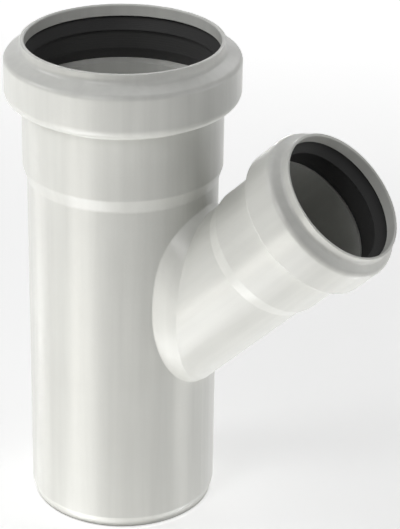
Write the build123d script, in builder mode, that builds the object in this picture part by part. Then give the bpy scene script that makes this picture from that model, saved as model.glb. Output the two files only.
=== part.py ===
from build123d import *
import math
import os

# A 45 degree drainage wye: an upright run with one smaller branch. The top of the run and
# the end of the branch are push-fit sockets, each with a rubber lip seal held in a collar.
# The bottom of the run is a plain chamfered spigot.
# The origin is the centre of the spigot's end face. Z is the axis of the run and the branch
# leans towards +X. Every size is in millimetres, and angles are in degrees.

# Run
run_diameter = 110.0
run_wall = 2.7
run_height = 288.0
spigot_length = 81.0
spigot_chamfer_height = 7.0
spigot_chamfer_depth = 1.9
spigot_round = 3.0
run_draft = 0.05

# Rounding that both sockets share
rim_round = 0.5
mouth_chamfer = 0.6
stop_round = 2.0

# Socket of the run, with depths measured down from its rim
run_play = 0.35
run_rim_wall = 2.45
run_shoulder_start = 5.3
run_shoulder_end = 9.8
run_collar_diameter = 134.6
run_collar_wall = 2.3
run_collar_end = 33.0
run_collar_foot = 37.2
run_socket_wall = 2.2
run_socket_depth = 74.7
run_taper_height = 7.7
run_rim_blend = 3.0
run_shoulder_round = 3.4
run_collar_round = 6.4
run_foot_blend = 1.0
run_taper_round = 4.0

# Branch, whose axis crosses the axis of the run at branch_height
branch_angle = 45.0
branch_height = 84.2
branch_reach = 199.7
branch_diameter = 75.0
branch_wall = 1.9

# Socket of the branch, with depths measured back from its rim
branch_play = 0.25
branch_rim_wall = 1.6
branch_shoulder_start = 5.4
branch_shoulder_end = 8.8
branch_collar_diameter = 90.4
branch_collar_wall = 1.9
branch_collar_end = 29.6
branch_collar_foot = 30.8
branch_socket_wall = 1.75
branch_socket_depth = 61.5
branch_taper_height = 7.8
branch_rim_blend = 2.0
branch_shoulder_round = 4.4
branch_collar_round = 1.3
branch_foot_blend = 0.6
branch_taper_round = 3.0

# Neck: the foot that spreads from the branch onto the run. It starts from the upright oval
# in which the plane at neck_reach cuts the branch, and aims at a fuller oval at neck_root.
neck_reach = 59.0
neck_root = 40.0
neck_half_width = 35.4
neck_widest_height = 56.6
neck_top_height = 119.9
neck_bottom_height = -5.2
neck_upper_fullness = 0.57
neck_top_flatness = 0.78
neck_lower_fullness = 0.48
neck_bottom_flatness = 0.62
neck_bore_draft = 5.5
neck_round = 0.8

# Lip seals, with depths measured from the rim of their own socket. A share says how far
# into its groove a part of the seal stands back, as a share of the depth of that groove.
seal_clearance = 0.2
seal_lip_thickness = 1.5
seal_relief_height = 2.2
seal_round = 0.5
run_lip_depth = 15.2
run_lip_reach = 1.4
run_seal_body_end = 26.6
run_nose_share = 0.19
run_valley_share = 0.06
run_body_share = 0.03
run_foot_share = 0.37
branch_lip_depth = 13.9
branch_lip_reach = 3.2
branch_seal_body_end = 26.6
branch_nose_share = 0.33
branch_valley_share = 0.3
branch_body_share = 0.05
branch_foot_share = 0.12

os.makedirs("parts", exist_ok=True)

# Sizes worked out from the ones above
run_radius = run_diameter / 2
run_socket_radius = run_radius + run_play
branch_radius = branch_diameter / 2
branch_socket_radius = branch_radius + branch_play
lean = math.radians(branch_angle)
branch_direction = (math.sin(lean), 0, math.cos(lean))
branch_axis = Axis((0, 0, branch_height), branch_direction)
branch_plane = Plane(
    origin=(0, 0, branch_height),
    x_dir=(math.cos(lean), 0, -math.sin(lean)),
    z_dir=(0, -1, 0),
)


def groove_line(start, end, wall, side):
    """Depth of the groove wall at a radius, one wall thickness inside the outer slope.

    start and end are (radius, depth) points of the outer slope, and side is 1 where the
    groove lies deeper than the slope and -1 where it lies shallower.
    """
    slope = (end[1] - start[1]) / (end[0] - start[0])
    shift = side * wall * math.hypot(1, slope)
    return lambda radius: start[1] + (radius - start[0]) * slope + shift


def half_section(plane, rim, outline, rounds):
    """A closed half section from (radius, depth) points, with some corners rounded."""
    with BuildSketch(plane) as section:
        with BuildLine():
            Polyline(*[(radius, rim - depth) for radius, depth in outline], close=True)
        make_face()
        for (radius, depth), size in rounds:
            corner = section.vertices().sort_by_distance((radius, rim - depth, 0))[0]
            fillet(corner, size)
    return section.sketch


# Collar slopes: the shoulder at the top of each collar and the foot at its bottom
run_rim_radius = run_socket_radius + run_rim_wall
run_collar_radius = run_collar_diameter / 2
run_socket_outer = run_socket_radius + run_socket_wall
run_shoulder = ((run_rim_radius, run_shoulder_start), (run_collar_radius, run_shoulder_end))
run_foot = ((run_collar_radius, run_collar_end), (run_socket_outer, run_collar_foot))
run_groove_radius = run_collar_radius - run_collar_wall
run_groove_top = groove_line(*run_shoulder, run_collar_wall, 1)
run_groove_floor = groove_line(*run_foot, run_collar_wall, -1)

branch_rim_radius = branch_socket_radius + branch_rim_wall
branch_collar_radius = branch_collar_diameter / 2
branch_socket_outer = branch_socket_radius + branch_socket_wall
branch_shoulder = (
    (branch_rim_radius, branch_shoulder_start),
    (branch_collar_radius, branch_shoulder_end),
)
branch_foot = (
    (branch_collar_radius, branch_collar_end),
    (branch_socket_outer, branch_collar_foot),
)
branch_groove_radius = branch_collar_radius - branch_collar_wall
branch_groove_top = groove_line(*branch_shoulder, branch_collar_wall, 1)
branch_groove_floor = groove_line(*branch_foot, branch_collar_wall, -1)

# Outside of the run, from its axis at the rim down to the spigot
run_taper_end = run_socket_depth + run_taper_height
spigot_start = run_height - spigot_length
spigot_shoulder = run_height - spigot_chamfer_height
run_top_radius = run_radius + (spigot_start - run_taper_end) * math.tan(math.radians(run_draft))
run_outside = half_section(
    Plane.XZ,
    run_height,
    [
        (0, 0),
        (run_rim_radius, 0),
        *run_shoulder,
        *run_foot,
        (run_socket_outer, run_socket_depth),
        (run_top_radius, run_taper_end),
        (run_radius, spigot_start),
        (run_radius, spigot_shoulder),
        (run_radius - spigot_chamfer_depth, run_height),
        (0, run_height),
    ],
    [
        ((run_rim_radius, 0), rim_round),
        (run_shoulder[0], run_rim_blend),
        (run_shoulder[1], run_shoulder_round),
        (run_foot[0], run_collar_round),
        (run_foot[1], run_foot_blend),
        ((run_socket_outer, run_socket_depth), run_taper_round),
        ((run_top_radius, run_taper_end), run_taper_round),
        ((run_radius, spigot_shoulder), spigot_round),
        ((run_radius - spigot_chamfer_depth, run_height), rim_round),
    ],
)

# Bore of the run: mouth, seal groove, socket, stop and waterway
run_bore = run_radius - run_wall
run_inside = half_section(
    Plane.XZ,
    run_height,
    [
        (0, 0),
        (run_socket_radius + mouth_chamfer, 0),
        (run_socket_radius, mouth_chamfer),
        (run_socket_radius, run_groove_top(run_socket_radius)),
        (run_groove_radius, run_groove_top(run_groove_radius)),
        (run_groove_radius, run_groove_floor(run_groove_radius)),
        (run_socket_radius, run_groove_floor(run_socket_radius)),
        (run_socket_radius, run_socket_depth),
        (run_bore, run_taper_end),
        (run_bore, run_height),
        (0, run_height),
    ],
    [((run_socket_radius, run_socket_depth), stop_round), ((run_bore, run_taper_end), stop_round)],
)

# Outside of the branch, from its rim back to the axis of the run
branch_taper_end = branch_socket_depth + branch_taper_height
branch_outside = half_section(
    branch_plane,
    branch_reach,
    [
        (0, 0),
        (branch_rim_radius, 0),
        *branch_shoulder,
        *branch_foot,
        (branch_socket_outer, branch_socket_depth),
        (branch_radius, branch_taper_end),
        (branch_radius, branch_reach),
        (0, branch_reach),
    ],
    [
        ((branch_rim_radius, 0), rim_round),
        (branch_shoulder[0], branch_rim_blend),
        (branch_shoulder[1], branch_shoulder_round),
        (branch_foot[0], branch_collar_round),
        (branch_foot[1], branch_foot_blend),
        ((branch_socket_outer, branch_socket_depth), branch_taper_round),
        ((branch_radius, branch_taper_end), branch_taper_round),
    ],
)

# Bore of the branch, which narrows by its draft from the neck to the run
branch_bore = branch_radius - branch_wall
neck_distance = neck_reach / math.sin(lean)
foot_bore = branch_bore - neck_distance * math.tan(math.radians(neck_bore_draft))
branch_inside = half_section(
    branch_plane,
    branch_reach,
    [
        (0, 0),
        (branch_socket_radius + mouth_chamfer, 0),
        (branch_socket_radius, mouth_chamfer),
        (branch_socket_radius, branch_groove_top(branch_socket_radius)),
        (branch_groove_radius, branch_groove_top(branch_groove_radius)),
        (branch_groove_radius, branch_groove_floor(branch_groove_radius)),
        (branch_socket_radius, branch_groove_floor(branch_socket_radius)),
        (branch_socket_radius, branch_socket_depth),
        (branch_bore, branch_taper_end),
        (branch_bore, branch_reach - neck_distance),
        (foot_bore, branch_reach),
        (0, branch_reach),
    ],
    [
        ((branch_socket_radius, branch_socket_depth), stop_round),
        ((branch_bore, branch_taper_end), stop_round),
    ],
)

# Branch and neck, as one solid that reaches into the run
with BuildPart() as branch_form:
    revolve(branch_outside, axis=branch_axis)
    split(bisect_by=Plane.YZ.offset(neck_reach), keep=Keep.TOP)
    neck_centre = branch_height + neck_reach / math.tan(lean)
    with BuildSketch(Plane.YZ.offset(neck_reach)) as neck_mouth:
        with Locations((0, neck_centre)):
            Ellipse(branch_radius, branch_radius / math.sin(lean))
    with BuildSketch(Plane.YZ.offset(neck_root)) as neck_foot:
        widest = branch_height + neck_widest_height
        top = branch_height + neck_top_height
        bottom = branch_height + neck_bottom_height
        upper_handle = widest + neck_upper_fullness * (top - widest)
        lower_handle = widest - neck_lower_fullness * (widest - bottom)
        top_handle = neck_top_flatness * neck_half_width
        bottom_handle = neck_bottom_flatness * neck_half_width
        with BuildLine():
            Bezier(
                (neck_half_width, widest),
                (neck_half_width, upper_handle),
                (top_handle, top),
                (0, top),
            )
            Bezier(
                (neck_half_width, widest),
                (neck_half_width, lower_handle),
                (bottom_handle, bottom),
                (0, bottom),
            )
            mirror(about=Plane.YZ)
        make_face()
    loft(ruled=True)

with BuildPart() as waterway:
    revolve(run_inside, axis=Axis.Z)
    revolve(branch_inside, axis=branch_axis)

with BuildPart() as fitting_body:
    revolve(run_outside, axis=Axis.Z)
    add(branch_form.part)
    fillet(fitting_body.edges(Select.NEW), neck_round)
    add(waterway.part, mode=Mode.SUBTRACT)


def seal_section(plane, rim, bore, groove, groove_top, groove_floor, lip, body_end, shares):
    """Half section of a lip seal that fills its groove and leans a lip into the socket.

    lip is the lip's (depth, reach). shares are those of the nose, of the valley behind the
    lip, of the body's lower edge and of the foot.
    """
    lip_depth, lip_reach = lip
    nose, valley, body, foot = [bore + share * (groove - bore) for share in shares]
    back = groove - seal_clearance
    tip = bore - lip_reach
    top_slope = (groove_top(groove) - groove_top(bore)) / (groove - bore)
    floor_slope = (groove_floor(groove) - groove_floor(bore)) / (groove - bore)
    top_gap = seal_clearance * math.hypot(1, top_slope)
    floor_gap = seal_clearance * math.hypot(1, floor_slope)
    nose_depth = groove_top(nose) + top_gap
    lip_turn = math.atan2(nose - tip, lip_depth - nose_depth)
    lip_back = (
        tip + seal_lip_thickness * math.cos(lip_turn),
        lip_depth + seal_lip_thickness * math.sin(lip_turn),
    )
    outline = [
        (nose, nose_depth),
        (tip, lip_depth),
        lip_back,
        (valley, lip_depth + seal_relief_height),
        (body, body_end),
        (foot, groove_floor(foot) - floor_gap),
        (back, groove_floor(back) - floor_gap),
        (back, groove_top(back) + top_gap),
    ]
    return half_section(plane, rim, outline, [(corner, seal_round) for corner in outline])


with BuildPart() as run_seal:
    run_seal_section = seal_section(
        Plane.XZ,
        run_height,
        run_socket_radius,
        run_groove_radius,
        run_groove_top,
        run_groove_floor,
        (run_lip_depth, run_lip_reach),
        run_seal_body_end,
        (run_nose_share, run_valley_share, run_body_share, run_foot_share),
    )
    revolve(run_seal_section, axis=Axis.Z)

with BuildPart() as branch_seal:
    branch_seal_section = seal_section(
        branch_plane,
        branch_reach,
        branch_socket_radius,
        branch_groove_radius,
        branch_groove_top,
        branch_groove_floor,
        (branch_lip_depth, branch_lip_reach),
        branch_seal_body_end,
        (branch_nose_share, branch_valley_share, branch_body_share, branch_foot_share),
    )
    revolve(branch_seal_section, axis=branch_axis)

fitting_body.part.label = "fitting_body"
run_seal.part.label = "run_seal"
branch_seal.part.label = "branch_seal"
export_step(fitting_body.part, "parts/fitting_body.step")
export_step(run_seal.part, "parts/run_seal.step")
export_step(branch_seal.part, "parts/branch_seal.step")
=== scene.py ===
"""A light grey push-fit drainage wye with black rubber lip seals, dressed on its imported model.

Lengths are in metres and angles in degrees. Z runs up the axis of the run, the branch leans
towards +X, and the origin is the centre of the spigot's end face.
"""
import math

import bpy
import numpy as np
from mathutils import Matrix, Vector

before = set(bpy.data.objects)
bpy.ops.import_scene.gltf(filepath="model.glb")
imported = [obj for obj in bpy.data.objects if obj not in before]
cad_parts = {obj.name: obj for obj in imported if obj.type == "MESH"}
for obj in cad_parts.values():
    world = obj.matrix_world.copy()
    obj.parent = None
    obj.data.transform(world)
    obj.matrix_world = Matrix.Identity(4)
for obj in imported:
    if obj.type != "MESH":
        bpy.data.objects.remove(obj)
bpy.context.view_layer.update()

# Where the axes of the run and the branch start, and how far the branch's leans from upright
RUN_CENTRE = (0.0, 0.0, 0.0)
BRANCH_CENTRE = (0.0, 0.0, 0.0842)
BRANCH_ANGLE = 45.0

# How far under a socket's rim its seal starts. For each socket, the rim along its own axis, how
# far under it the lip ends, and the height of the painted shade at the seal's start, over which
# the seal gets lighter.
SEAL_START = 0.0080
RUN_RIM = 0.288
RUN_LIP_DEPTH = 0.0152
RUN_PAINTED_SHADE = 0.0016
BRANCH_RIM = 0.1997
BRANCH_LIP_DEPTH = 0.0139
BRANCH_PAINTED_SHADE = 0.0045

# Plastic. Colours are in linear light. A pattern has its waves to the metre and its detail.
PLASTIC_LIGHT = (0.805, 0.810, 0.776, 1.0)
PLASTIC_DARK = (0.555, 0.558, 0.532, 1.0)
PLASTIC_CLOUDS = (14.0, 3.0)
PLASTIC_FLOW = (150.0, 3.0)
PLASTIC_PEEL = (420.0, 2.0)
PLASTIC_PEEL_HEIGHT = 0.00006
PLASTIC_GRAIN = (2600.0, 2.0)
PLASTIC_GRAIN_HEIGHT = 0.000012
# Its least roughness, and what the light side of the clouds and of the flow marks adds
PLASTIC_ROUGHNESS = 0.26
PLASTIC_CLOUDS_ROUGHNESS = 0.06
PLASTIC_FLOW_ROUGHNESS = 0.04
PLASTIC_IOR = 1.49
# The flow marks are drawn out along each pipe. Between these distances from the run's axis, the
# branch's marks take over from the run's. The first is just outside the run's collar.
FLOW_STRETCH = (1.0, 1.0, 0.05)
BRANCH_FLOW_START = 0.0674
BRANCH_FLOW_FULL = 0.0720

# Rubber, in the same terms: where it is clean, under full bloom and painted light, and in the
# painted shade where it meets the plastic
RUBBER_CLEAN = (0.026, 0.026, 0.026, 1.0)
# Its bloom, which behind the lip also carries painted light
RUBBER_BLOOM_AND_PAINTED_LIGHT = (0.060, 0.060, 0.060, 1.0)
# Colour of the painted shade along the seal's top, where it meets the plastic
RUBBER_PAINTED_SHADE = (0.008, 0.008, 0.008, 1.0)
RUBBER_CLOUD = (70.0, 4.0)
RUBBER_GRAIN = (1800.0, 3.0)
RUBBER_GRAIN_HEIGHT = 0.00003
RUBBER_ROUGHNESS = 0.56
RUBBER_CLOUD_ROUGHNESS = 0.14
RUBBER_SHINE = 0.25
# Rings that the mould left: radians to the metre outwards, and the share of that up the axis
RING_WAVE = 5200.0
RING_SLOPE = 0.8
RING_HEIGHT = 0.00002
# Shares of the bloom that follow the cloud and the grain, and the share of painted light on the
# shaded side behind the lip, which starts this far above the lip's end and is full this far
# under it
BLOOM_CLOUD = 0.25
BLOOM_GRAIN = 0.15
PAINTED_LIGHT_BEHIND = 0.60
LIP_ABOVE = 0.0012
LIP_UNDER = 0.0008

# Camera, as it stood for the photograph, with its focal length in the photograph's pixels
PHOTO_SIZE = (400, 529)
FOCAL_PIXELS = 2235.1
SENSOR = 36.0
CAMERA_AIM = Vector((0.038975, 0.022593, 0.147972))
CAMERA_DISTANCE = 1.30884
CAMERA_AZIMUTH = 30.10
CAMERA_ELEVATION = 25.977
CAMERA_ROLL = 0.959

# Lamps. Each has its bearing from the front, its height angle, the side of its square, its
# power and its tint. Those below the horizon shine up through the table.
LAMP_FRONT = -57.7
WHITE = (1.0, 1.0, 1.0)
WARM = (1.0, 0.98, 0.92)
# The large ones stand round the whole fitting
ROOM_CENTRE = Vector((0.05, 0.0, 0.15))
ROOM_DISTANCE = 1.5
ROOM_LAMPS = {
    "high_left": (-90, 65, 0.60, 1.2, WHITE),
    "high_back": (180, 65, 0.60, 1.2, WHITE),
    "right_fill": (60, 35, 0.60, 1.1, WHITE),
    "right_low": (60, 5, 0.60, 1.3, WHITE),
    "side_fill": (90, 5, 0.60, 2.4, WHITE),
    "back_fill": (150, 35, 0.60, 1.8, WHITE),
    "behind": (180, 5, 0.60, 3.0, WHITE),
    "table_left": (-60, -55, 0.90, 13.2, WHITE),
    "table_stripe": (-60, -26, 0.36, 3.7, WARM),
    "table_stripe_edge": (-42, -26, 0.36, 3.0, WARM),
    "table_far_left": (-120, -26, 0.36, 1.0, WHITE),
    "table_right": (90, -55, 0.80, 4.8, WHITE),
    "table_right_stripe": (75, -26, 0.36, 2.4, WARM),
}
# Two small ones stand closer round the run's mouth, for its inside
MOUTH_CENTRE = Vector((0.0, 0.0, 0.26))
MOUTH_DISTANCE = 0.6
MOUTH_LAMPS = {
    "mouth_front": (-30, 35, 0.20, 0.84, WHITE),
    "mouth_left": (-90, 35, 0.20, 0.80, WHITE),
}
SKY_STRENGTH = 0.10

# Table. What it glows to the camera by itself rises from near to far over the fade. The patch
# is a dense round of it under the spigot.
TABLE_RADIUS = 6.0
TABLE_FADE = 2.0
GLOW_NEAR = 0.45
GLOW_FAR = 0.90
TABLE_COLOUR = (0.88, 0.88, 0.88, 1.0)
PATCH_RADIUS = 0.0552
PATCH_HEIGHT = 0.0002
ROUND_SIDES = 96


class Wire:
    """A shader socket that can be written into sums, differences and products."""

    def __init__(self, tree, socket):
        self.tree = tree
        self.socket = socket

    def _math(self, operation, first, second):
        node = self.tree.nodes.new("ShaderNodeMath")
        node.operation = operation
        for slot, value in zip(node.inputs, (first, second)):
            if isinstance(value, Wire):
                self.tree.links.new(value.socket, slot)
            else:
                slot.default_value = value
        return Wire(self.tree, node.outputs[0])

    def __add__(self, other):
        return self._math("ADD", self, other)

    def __radd__(self, other):
        return self._math("ADD", other, self)

    def __sub__(self, other):
        return self._math("SUBTRACT", self, other)

    def __rsub__(self, other):
        return self._math("SUBTRACT", other, self)

    def __mul__(self, other):
        return self._math("MULTIPLY", self, other)

    def __rmul__(self, other):
        return self._math("MULTIPLY", other, self)


class Finish:
    """A material, or the world's light, with one method that adds nodes to it."""

    def __init__(self, holder):
        holder.use_nodes = True
        self.holder = holder
        self.tree = holder.node_tree
        self.tree.nodes.clear()

    def node(self, kind, settings=None, inputs=None, output=0):
        """Adds a node, and gives the wire of its output, if it has one.

        Its settings are set first, then the values or wires of its sockets.
        """
        node = self.tree.nodes.new(kind)
        for name, value in (settings or {}).items():
            setattr(node, name, value)
        for name, value in (inputs or {}).items():
            if isinstance(value, Wire):
                self.tree.links.new(value.socket, node.inputs[name])
            else:
                node.inputs[name].default_value = value
        return Wire(self.tree, node.outputs[output]) if node.outputs else None

    def vector(self, operation, first, second):
        """Vector maths on two places."""
        return self.node(
            "ShaderNodeVectorMath", {"operation": operation}, {0: first, 1: second}
        )

    def place(self, centre=(0.0, 0.0, 0.0), turn=0.0, stretch=(1.0, 1.0, 1.0)):
        """The point's place from the centre, turned about Y and only then stretched."""
        from_centre = self.vector(
            "SUBTRACT", self.node("ShaderNodeTexCoord", output="Object"), centre
        )
        turned = self.node(
            "ShaderNodeMapping",
            inputs={"Vector": from_centre, "Rotation": (0.0, math.radians(turn), 0.0)},
        )
        return self.vector("MULTIPLY", turned, stretch)

    def off_axis(self, place):
        """How far the place is from its own Z axis."""
        flat = self.vector("MULTIPLY", place, (1.0, 1.0, 0.0))
        return self.node("ShaderNodeVectorMath", {"operation": "LENGTH"}, {0: flat}, "Value")

    def noise(self, pattern, place=None):
        """Soft noise from 0 to 1. The pattern is its waves to the metre and its detail."""
        scale, detail = pattern
        return self.node(
            "ShaderNodeTexNoise",
            inputs={"Vector": place or self.place(), "Scale": scale, "Detail": detail},
        )

    def blend(self, factor, first, second):
        """The colour that lies this far from the first towards the second.

        Sockets 6, 7 and 2 are the Mix node's colours: first, second and result.
        """
        return self.node(
            "ShaderNodeMix", {"data_type": "RGBA"}, {"Factor": factor, 6: first, 7: second}, 2
        )

    def step(self, value, start, end, low=0.0, high=1.0):
        """A smooth step from low to high as the value goes from start to end."""
        return self.node(
            "ShaderNodeMapRange",
            {"interpolation_type": "SMOOTHSTEP"},
            {"Value": value, "From Min": start, "From Max": end, "To Min": low, "To Max": high},
        )

    def bump(self, height, distance, under=None):
        """A surface raised by the height, which runs from 0 to 1 over the distance."""
        inputs = {"Height": height, "Distance": distance}
        if under:
            inputs["Normal"] = under
        return self.node("ShaderNodeBump", inputs=inputs)

    def surface(self, shader, output="ShaderNodeOutputMaterial"):
        """Sends the shader to the output, and gives what holds these nodes."""
        self.node(output, inputs={"Surface": shader})
        return self.holder


def moulded_plastic():
    """Light grey moulded polypropylene: faint clouding, flow marks and a fine orange peel.

    The flow marks are long streaks that run along the run, and along the branch on it.
    """
    finish = Finish(bpy.data.materials.new("moulded_plastic"))
    clouds = finish.noise(PLASTIC_CLOUDS)
    run_flow = finish.noise(PLASTIC_FLOW, finish.place(stretch=FLOW_STRETCH))
    along_branch = finish.place(BRANCH_CENTRE, -BRANCH_ANGLE, FLOW_STRETCH)
    branch_flow = finish.noise(PLASTIC_FLOW, along_branch)
    out = finish.off_axis(finish.place())
    on_branch = finish.step(out, BRANCH_FLOW_START, BRANCH_FLOW_FULL)
    flow = run_flow + on_branch * (branch_flow - run_flow)
    grain = finish.bump(finish.noise(PLASTIC_GRAIN), PLASTIC_GRAIN_HEIGHT)
    skin = finish.bump(finish.noise(PLASTIC_PEEL), PLASTIC_PEEL_HEIGHT, under=grain)
    dulling = PLASTIC_CLOUDS_ROUGHNESS * clouds + PLASTIC_FLOW_ROUGHNESS * flow
    shader = finish.node(
        "ShaderNodeBsdfPrincipled",
        inputs={
            "Base Color": finish.blend(0.5 * (clouds + flow), PLASTIC_DARK, PLASTIC_LIGHT),
            "Roughness": PLASTIC_ROUGHNESS + dulling,
            "Normal": skin,
            "IOR": PLASTIC_IOR,
        },
    )
    return finish.surface(shader)


def seal_rubber(name, centre, turn, rim, lip_depth, painted_shade):
    """Black rubber with a fine grain, the faint rings its mould left and a dull bloom.

    Behind the lip the bloom is thickened as painted light, which lifts the shaded recess there,
    and where the rubber meets the plastic it is darkened as painted shade.
    """
    finish = Finish(bpy.data.materials.new(name))
    place = finish.place(centre, turn)
    along = finish.node("ShaderNodeSeparateXYZ", inputs={"Vector": place}, output="Z")
    depth = rim - along
    wave = RING_WAVE * (finish.off_axis(place) + RING_SLOPE * along)
    rings = finish.node("ShaderNodeMath", {"operation": "SINE"}, {0: wave})
    cloud = finish.noise(RUBBER_CLOUD)
    grain = finish.noise(RUBBER_GRAIN)
    # Painted light: the rubber behind the lip, in the lip's shade, is made lighter
    painted_light_behind_lip = finish.step(depth, lip_depth - LIP_ABOVE, lip_depth + LIP_UNDER)
    bloom_and_painted_light = BLOOM_CLOUD * cloud + BLOOM_GRAIN * grain + PAINTED_LIGHT_BEHIND * painted_light_behind_lip
    colour = finish.blend(bloom_and_painted_light, RUBBER_CLEAN, RUBBER_BLOOM_AND_PAINTED_LIGHT)
    # Painted shade: the rubber is darkened where it meets the plastic, in the crease under the
    # rim
    past_painted_shade = finish.step(depth, SEAL_START, SEAL_START + painted_shade)
    skin = finish.bump(rings, RING_HEIGHT, under=finish.bump(grain, RUBBER_GRAIN_HEIGHT))
    shader = finish.node(
        "ShaderNodeBsdfPrincipled",
        inputs={
            "Base Color": finish.blend(past_painted_shade, RUBBER_PAINTED_SHADE, colour),
            "Roughness": RUBBER_ROUGHNESS + RUBBER_CLOUD_ROUGHNESS * cloud,
            "Normal": skin,
            "Specular IOR Level": RUBBER_SHINE,
        },
    )
    return finish.surface(shader)


def dress(node, material):
    """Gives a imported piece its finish."""
    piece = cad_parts[node]
    piece.data.materials.clear()
    piece.data.materials.append(material)


def stage_round(name, radius, height, material):
    """A flat round: radius times the cosine and sine of a full turn, all at one height."""
    turn = np.linspace(0.0, 2.0 * math.pi, ROUND_SIDES, endpoint=False)
    points = np.stack(
        [radius * np.cos(turn), radius * np.sin(turn), np.full_like(turn, height)], axis=1
    )
    mesh = bpy.data.meshes.new(name)
    mesh.from_pydata(points.tolist(), [], [range(ROUND_SIDES)])
    mesh.materials.append(material)
    piece = bpy.data.objects.new(name, mesh)
    bpy.context.collection.objects.link(piece)
    return piece


def lit_table():
    """A pale table that is white to the camera and lets the lamps under it shine through.

    The lamps light it less the farther out it lies, so it glows more there. A round of it under
    the spigot is dense, and keeps those lamps off the spigot's end and out of the run.
    """
    finish = Finish(bpy.data.materials.new("table_white"))
    out = finish.off_axis(finish.place())
    strength = finish.step(out, 0.0, TABLE_FADE, GLOW_NEAR, GLOW_FAR)
    to_camera = finish.node("ShaderNodeLightPath", output="Is Camera Ray")
    matt = finish.node("ShaderNodeBsdfDiffuse", inputs={"Color": TABLE_COLOUR})
    glow = finish.node("ShaderNodeEmission", inputs={"Strength": strength * to_camera})
    white = finish.surface(finish.node("ShaderNodeAddShader", inputs={0: matt, 1: glow}))
    table = stage_round("table", TABLE_RADIUS, 0.0, white)
    table.visible_glossy = False
    table.visible_shadow = False
    stage_round("table_patch", PATCH_RADIUS, PATCH_HEIGHT, white)


def white_surround():
    """A faint even light from all round, which is plain white where it is seen or mirrored."""
    finish = Finish(bpy.data.worlds.new("surround"))
    to_camera = finish.node("ShaderNodeLightPath", output="Is Camera Ray")
    mirrored = finish.node("ShaderNodeLightPath", output="Is Glossy Ray")
    strength = SKY_STRENGTH + (1.0 - SKY_STRENGTH) * (to_camera + mirrored)
    light = finish.node(
        "ShaderNodeBackground", inputs={"Color": (*WHITE, 1.0), "Strength": strength}
    )
    bpy.context.scene.world = finish.surface(light, "ShaderNodeOutputWorld")


def lamp(name, centre, distance, facts):
    """A soft square lamp at this distance from the centre that it faces.

    Rays sent out by chance can't find the lamps under the table, so every lamp is sampled
    directly only.
    """
    bearing, height, side, power, tint = facts
    turn, rise = math.radians(LAMP_FRONT + bearing), math.radians(height)
    level = math.cos(rise)
    out = Vector((math.cos(turn) * level, math.sin(turn) * level, math.sin(rise)))
    data = bpy.data.lights.new(name, "AREA")
    data.shape = "SQUARE"
    data.size = side
    data.energy = power
    data.color = tint
    data.cycles.use_multiple_importance_sampling = False
    made = bpy.data.objects.new(name, data)
    made.location = centre + distance * out
    made.rotation_euler = (-out).to_track_quat("-Z", "Y").to_euler()
    bpy.context.collection.objects.link(made)


def camera():
    """Stands the camera where the photograph was taken from."""
    azimuth = math.radians(CAMERA_AZIMUTH)
    elevation = math.radians(CAMERA_ELEVATION)
    roll = math.radians(CAMERA_ROLL)
    forward = Vector((
        -math.sin(azimuth) * math.cos(elevation),
        math.cos(azimuth) * math.cos(elevation),
        -math.sin(elevation),
    ))
    right = Vector((math.cos(azimuth), math.sin(azimuth), 0.0))
    up = right.cross(forward)
    turned_right = right * math.cos(roll) + up * math.sin(roll)
    turned_up = up * math.cos(roll) - right * math.sin(roll)
    axes = Matrix((turned_right, turned_up, -forward)).transposed().to_4x4()
    data = bpy.data.cameras.new("camera")
    data.sensor_width = SENSOR
    data.lens = FOCAL_PIXELS / max(PHOTO_SIZE) * SENSOR
    made = bpy.data.objects.new("camera", data)
    made.matrix_world = Matrix.Translation(CAMERA_AIM - forward * CAMERA_DISTANCE) @ axes
    bpy.context.collection.objects.link(made)
    bpy.context.scene.camera = made


dress("fitting_body", moulded_plastic())
run_rubber = seal_rubber(
    "run_seal_rubber", RUN_CENTRE, 0.0, RUN_RIM, RUN_LIP_DEPTH, RUN_PAINTED_SHADE
)
branch_rubber = seal_rubber(
    "branch_seal_rubber", BRANCH_CENTRE, -BRANCH_ANGLE,
    BRANCH_RIM, BRANCH_LIP_DEPTH, BRANCH_PAINTED_SHADE,
)
dress("run_seal", run_rubber)
dress("branch_seal", branch_rubber)

camera()
lit_table()
white_surround()
for name, facts in ROOM_LAMPS.items():
    lamp(name, ROOM_CENTRE, ROOM_DISTANCE, facts)
for name, facts in MOUTH_LAMPS.items():
    lamp(name, MOUTH_CENTRE, MOUTH_DISTANCE, facts)

bpy.context.scene.view_settings.view_transform = "Standard"
